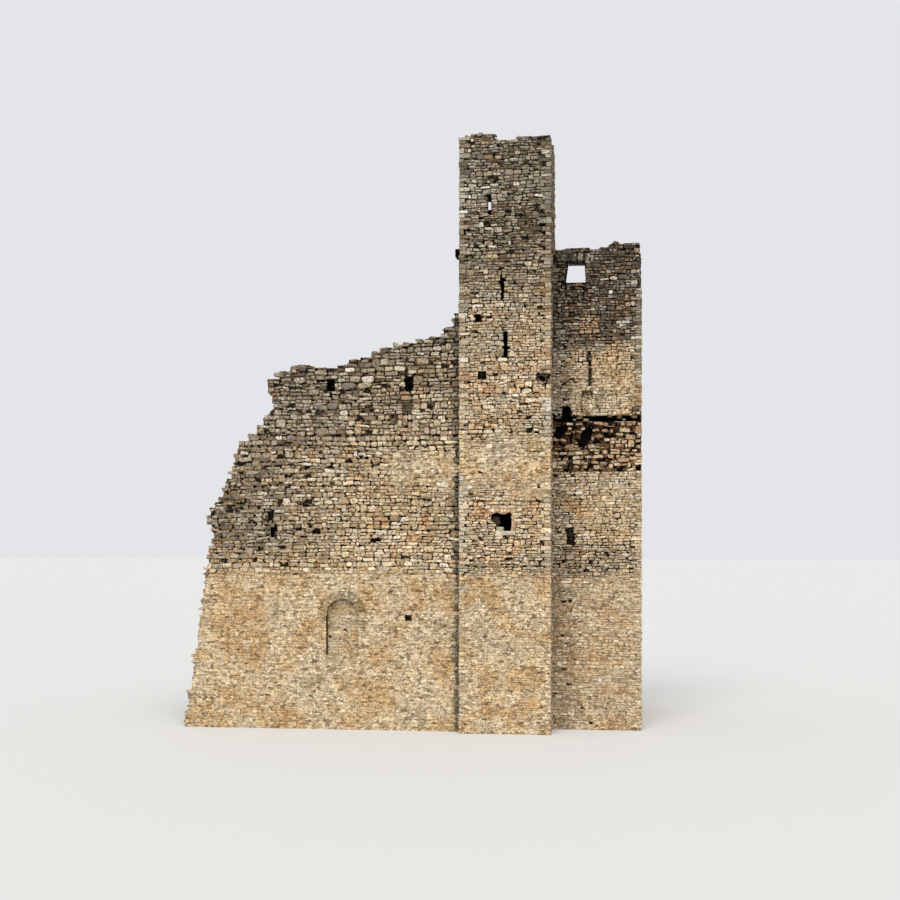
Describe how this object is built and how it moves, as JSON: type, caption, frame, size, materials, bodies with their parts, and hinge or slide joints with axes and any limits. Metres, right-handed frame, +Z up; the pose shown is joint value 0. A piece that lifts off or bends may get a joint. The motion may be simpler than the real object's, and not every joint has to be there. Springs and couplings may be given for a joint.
{
  "type": "ruined castle keep",
  "caption": "Ruined rubble-stone keep: a tall square turret between a broken hall wall and a higher right front, open to the sky, with slits, beam holes and an arched entrance.",
  "frame": {"origin": "middle of the ground plan, at ground level", "axes": "+Z up, -Y towards the front that the picture shows, +X to the right of that front"},
  "size_m": [18.86, 10.2, 24.1472],
  "materials": {
    "rubble_limestone": "weathered rubble in lime mortar",
    "dressed_limestone": "rough dressed, weathered",
    "loose_core": "broken wall core"
  },
  "bodies": {
    "root": {"turret_front_base": "rubble_limestone", "turret_front_middle": "rubble_limestone", "turret_front_upper": "rubble_limestone", "turret_front_top": "rubble_limestone", "turret_left_lower": "rubble_limestone", "turret_left_upper": "rubble_limestone", "turret_right_lower": "rubble_limestone", "turret_right_upper": "rubble_limestone", "turret_back_lower": "rubble_limestone", "turret_back_upper": "rubble_limestone", "turret_vault": "rubble_limestone", "turret_cap_rubble": "loose_core", "turret_window_lintel": "dressed_limestone", "turret_window_sill": "dressed_limestone", "turret_window_jamb": "dressed_limestone", "bonding_stones": "rubble_limestone", "hall_base_left": "rubble_limestone", "hall_base_right": "rubble_limestone", "hall_entrance_sill_wall": "rubble_limestone", "hall_entrance_spandrel": "rubble_limestone", "hall_entrance_arch": "dressed_limestone", "hall_entrance_blocking": "rubble_limestone", "hall_front_middle": "rubble_limestone", "hall_front_top": "rubble_limestone", "right_front_base": "rubble_limestone", "right_front_robbed_band": "rubble_limestone", "right_front_middle": "rubble_limestone", "right_front_top": "rubble_limestone", "top_window_flat_arch": "dressed_limestone", "side_wall_base": "rubble_limestone", "side_wall_middle": "rubble_limestone", "side_wall_top": "rubble_limestone", "rear_base_left": "rubble_limestone", "rear_base_right": "rubble_limestone", "rear_opening_sill_wall": "rubble_limestone", "rear_opening_spandrel": "rubble_limestone", "rear_opening_arch": "dressed_limestone", "rear_wall_middle": "rubble_limestone", "rear_wall_top": "rubble_limestone"}
  },
  "joints": []
}
